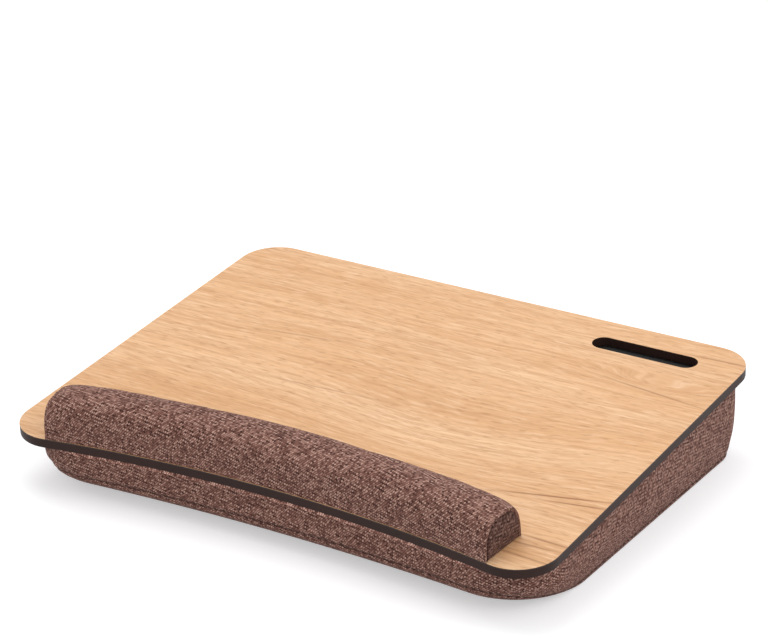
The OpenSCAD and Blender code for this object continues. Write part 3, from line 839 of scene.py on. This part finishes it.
# Sizes of the rings across a flat panel, as shares of its outline
BASE_RINGS = 0.0005, 0.3, 0.6, 0.85, 0.97, 1
TOP_RINGS = 1, 0.985, 0.8, 0.5, 0.2, 0.0005
# How far the top panel stays inside the wall's top
TOP_INSET = 1.5 * MM


def make_base():
    """Base panel: it lies flat on the floor and its rim is turned up to the bottom seam."""
    rim, to_seam = [], []
    for share in np.linspace(0, 1, RIM_ROWS):
        row = wall_point(SEAM_SHARE * share)
        to_seam.append((1 - share) * np.concatenate([SEAM_HEIGHT, np.full(REAR_COLS - 2, BASE_SEAM)]))
        row = row - WALL_OUT * (seam_dip((1 - share) * SEAM_HEIGHT) + RIM_TURN * (1 - share) ** 3)[..., None]
        rim.append(whole_ring(row, row[0, 1], row[0, 2]))
    rim = ringed(np.stack(rim))
    edge = rim[0] * (1, 1, 0)
    floor = np.stack([edge * scale for scale in BASE_RINGS])
    sewn = np.concatenate([np.full(floor.shape[:2], UNSEWN), ringed(np.stack(to_seam))])
    base = grid_object("cushion_base", (floor, floor[..., :2]), (rim, cloth_places(rim)), seam=sewn)
    thicken(base, CLOTH_T, smooth=False)
    dress(base, TWILL)
    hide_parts("cover_bottom")


def rear_closed(plan):
    """A plan of the cover closed across the rear, all the way round."""
    x = REAR_X[1:-1]
    return np.concatenate([plan, np.column_stack([x, np.full(len(x), plan[0, 1])]), plan[:1]])


def make_top_panel():
    """Lining across the top of the cushion, seen through the slot."""
    loop = rear_closed(wall_outline(1, grow=-TOP_INSET))
    points = np.stack([np.column_stack([loop * scale, np.full(len(loop), SEAM_UP)]) for scale in TOP_RINGS])
    panel = grid_object("cushion_top", (on_board(points), points[..., :2]))
    thicken(panel, CLOTH_T, smooth=False)
    dress(panel, LINING)
    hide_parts("cover_top")


TAPE_SIDES = 12


def make_binding():
    """Rounded tape round the top seam, just under the board."""
    loop = rear_closed(wall_outline(1))
    along = np.gradient(loop, axis=0)
    out = np.stack([along[:, 1], -along[:, 0]], -1)
    out /= np.linalg.norm(out, axis=1, keepdims=True)
    out[0] = out[-1] = (0, 1)
    middle = BINDING_GAP + BINDING_T / 2
    top = -BOARD_T - BINDING_GAP
    rows = []
    for turn in np.linspace(0, 2 * math.pi, TAPE_SIDES + 1)[:-1]:
        swell = BINDING_T / 2 * np.sign(math.cos(turn)) * abs(math.cos(turn)) ** 0.5
        level = top - BINDING_H / 2 + BINDING_H / 2 * np.sign(math.sin(turn)) * abs(math.sin(turn)) ** 0.6
        rows.append(np.column_stack([loop + out * (middle + swell), np.full(len(loop), level)]))
    points = np.stack(rows + rows[:1])
    girth = np.linspace(0, 2 * BINDING_H, len(points))[:, None]
    cloth = np.dstack(np.broadcast_arrays(lengths(loop), girth))
    tape = grid_object("binding_tape", (on_board(points), cloth))
    dress(tape, BINDING)
    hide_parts("cover_binding")


STRIP_ROWS = 14
STRIP_PUFF = 0.9 * MM


def make_rear_strip(name, node, low, high, zip_below):
    """One fabric strip of the rear wall, drawn in at both edges and rippled along the zip, which is below
    or above it."""
    share = np.linspace(0, 1, STRIP_ROWS)[:, None]
    share = 0.5 - 0.5 * np.cos(math.pi * share)
    up = low + (high - low) * share
    puff = STRIP_PUFF * np.sin(math.pi * share)
    out = puff - sum(seam_dip(distance, width=ZIP_DIP_W) for distance in (up - low, high - up))
    ends = seam_dip(REAR_W / 2 - np.abs(REAR_X))[None, :]
    to_zip = up - low if zip_below else high - up
    ripple = GATHER * np.exp(-to_zip / ZIP_GATHER_REACH) * gathers(REAR_X, 3.7 * MM, 1, 19 * MM)
    out = out - ends + ripple
    points = np.dstack([np.broadcast_to(REAR_X, out.shape), out, np.broadcast_to(up, out.shape)])
    strip = grid_object(name, (on_rear(points), np.dstack([-points[..., 0], points[..., 2]])))
    thicken(strip, CLOTH_T)
    dress(strip, TWILL)
    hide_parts(node)


# Loops of the zip's coil: pitch, half width and lean, and the core's half depth and half height as shares of
# the teeth
TOOTH_PITCH = 1.5 * MM
TOOTH_HALF = 0.52 * MM
TOOTH_LEAN = 0.25
CORE_DEPTH = 0.42
CORE_HEIGHT = 0.32
CORE_SIDES = 8


def make_teeth(name, node, side):
    """One side of the zip's coil: a row of rounded loops along a core."""
    mesh = bmesh.new()
    middle = ZIP_HEIGHT + side * (CHAIN_GAP / 2 + TEETH_W / 2)
    for at in np.arange(-ZIP_L / 2 + TOOTH_PITCH / 2, ZIP_L / 2, TOOTH_PITCH):
        loop = bmesh.ops.create_uvsphere(mesh, u_segments=8, v_segments=6, radius=1)["verts"]
        for vert in loop:
            x, out, up = vert.co.x * TOOTH_HALF, vert.co.y * TEETH_T / 2, vert.co.z * TEETH_W / 2
            vert.co = on_rear(np.array([at + x + TOOTH_LEAN * up, -CLOTH_T + TEETH_T / 2 + out, middle + up]))
    core = []
    for x in (-ZIP_L / 2, ZIP_L / 2):
        ring = [mesh.verts.new(on_rear(np.array([x, -CLOTH_T + TEETH_T * CORE_DEPTH * (1 + math.cos(turn)),
                                                 middle + TEETH_W * CORE_HEIGHT * math.sin(turn)])))
                for turn in np.linspace(0, 2 * math.pi, CORE_SIDES + 1)[:-1]]
        core.append(ring)
    for i in range(CORE_SIDES):
        after = (i + 1) % CORE_SIDES
        mesh.faces.new((core[0][i], core[1][i], core[1][after], core[0][after]))
    mesh.faces.new(core[0])
    mesh.faces.new(core[1][::-1])
    bmesh.ops.recalc_face_normals(mesh, faces=mesh.faces)
    teeth = bpy.data.objects.new(name, bpy.data.meshes.new(name))
    mesh.to_mesh(teeth.data)
    mesh.free()
    teeth.data.shade_smooth()
    bpy.context.scene.collection.objects.link(teeth)
    dress(teeth, ZIP_TEETH)
    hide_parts(node)


make_roll()
make_wall()
make_base()
make_top_panel()
make_binding()
REAR_H = float(np.dot(WALL_TOP[0] - REAR_FOOT, REAR_UP))
make_rear_strip("rear_cloth_upper", "rear_panel_upper", ZIP_HEIGHT + CHAIN_HALF, REAR_H, zip_below=True)
make_rear_strip("rear_cloth_lower", "rear_panel_lower", BASE_SEAM, ZIP_HEIGHT - CHAIN_HALF, zip_below=False)
make_teeth("zip_coil_upper", "zip_teeth_upper", 1)
make_teeth("zip_coil_lower", "zip_teeth_lower", -1)

# Stage: a white floor, soft light and the photograph's camera

FLOOR_HALF = 6.0
FLOOR_DROP = 0.2 * MM
FLOOR_TONES = (0.3, (0.71, 0.71, 0.72)), (0.7, (0.73, 0.73, 0.74))
# How much the floor is lifted towards white where it is seen, in a reflection too, without lighting the tray
FLOOR_LIFT = 0.62
WORLD_LIGHT = 0.8
# The rays beside the camera's own that see the white background
SEEING_RAYS = "Is Glossy Ray", "Is Transmission Ray"
# Lamps: name, place, aim, size and watts
LAMPS = ("key", (-0.6, 0.1, 2.6), (0, 0, 0), 1.8, 19), ("fill", (1.8, -0.2, 1.6), (0, 0, 0.05), 1.6, 9)


def make_floor():
    mesh = bpy.data.meshes.new("floor")
    corners = (-1, -1), (1, -1), (1, 1), (-1, 1)
    mesh.from_pydata([(x * FLOOR_HALF, y * FLOOR_HALF, -FLOOR_DROP) for x, y in corners], [], [(0, 1, 2, 3)])
    floor = bpy.data.objects.new("floor", mesh)
    bpy.context.scene.collection.objects.link(floor)
    look = Look("floor")
    mottle = look.noise(look.place(), scale=3, detail=2)
    tint = look.ramp(mottle, FLOOR_TONES)
    seen = look.add("LightPath", "Is Camera Ray", {})
    rays = seen.node.outputs
    for ray in SEEING_RAYS:
        seen = look.sum("MAXIMUM", seen, rays[ray])
    lift = look.sum("MULTIPLY", seen, FLOOR_LIFT)
    mesh.materials.append(look.done(Base_Color=tint, Roughness=0.85, Specular_IOR_Level=0.05,
                                    Emission_Color=tint, Emission_Strength=lift))


def make_world():
    world = bpy.data.worlds.new("studio")
    world.use_nodes = True
    nodes, links = world.node_tree.nodes, world.node_tree.links
    path = nodes.new("ShaderNodeLightPath")
    seen = path.outputs["Is Camera Ray"]
    for ray in SEEING_RAYS:
        either = nodes.new("ShaderNodeMath")
        either.operation = "MAXIMUM"
        links.new(seen, either.inputs[0])
        links.new(path.outputs[ray], either.inputs[1])
        seen = either.outputs[0]
    level = nodes.new("ShaderNodeMapRange")
    level.inputs["To Min"].default_value = WORLD_LIGHT
    level.inputs["To Max"].default_value = 1.0
    links.new(seen, level.inputs["Value"])
    links.new(level.outputs[0], nodes["Background"].inputs["Strength"])
    nodes["Background"].inputs["Color"].default_value = (1, 1, 1, 1)
    bpy.context.scene.world = world


def area_light(name, at, aim, size, watts):
    lamp = bpy.data.lights.new(name, "AREA")
    lamp.shape = "DISK"
    lamp.size = size
    lamp.energy = watts
    holder = bpy.data.objects.new(name, lamp)
    holder.location = at
    holder.rotation_euler = (Vector(aim) - Vector(at)).to_track_quat("-Z", "Y").to_euler()
    bpy.context.scene.collection.objects.link(holder)


SENSOR_W = 36
PHOTO_LENS = 138.16
PHOTO_AT = (1.0022, -1.6630, 0.9461)
PHOTO_AIM = (-0.0676, 0.1092, 0.0601)
PHOTO_ROLL = math.radians(0.218)


def make_camera():
    lens = bpy.data.cameras.new("photo")
    lens.sensor_fit = "HORIZONTAL"
    lens.sensor_width = SENSOR_W
    lens.lens = PHOTO_LENS
    camera = bpy.data.objects.new("photo", lens)
    aim = (Vector(PHOTO_AIM) - Vector(PHOTO_AT)).to_track_quat("-Z", "Y").to_matrix().to_4x4()
    camera.matrix_world = Matrix.Translation(PHOTO_AT) @ aim @ Matrix.Rotation(PHOTO_ROLL, 4, "Z")
    bpy.context.scene.collection.objects.link(camera)
    bpy.context.scene.camera = camera


make_floor()
make_world()
for lamp in LAMPS:
    area_light(*lamp)
make_camera()
bpy.context.scene.view_settings.view_transform = "Standard"
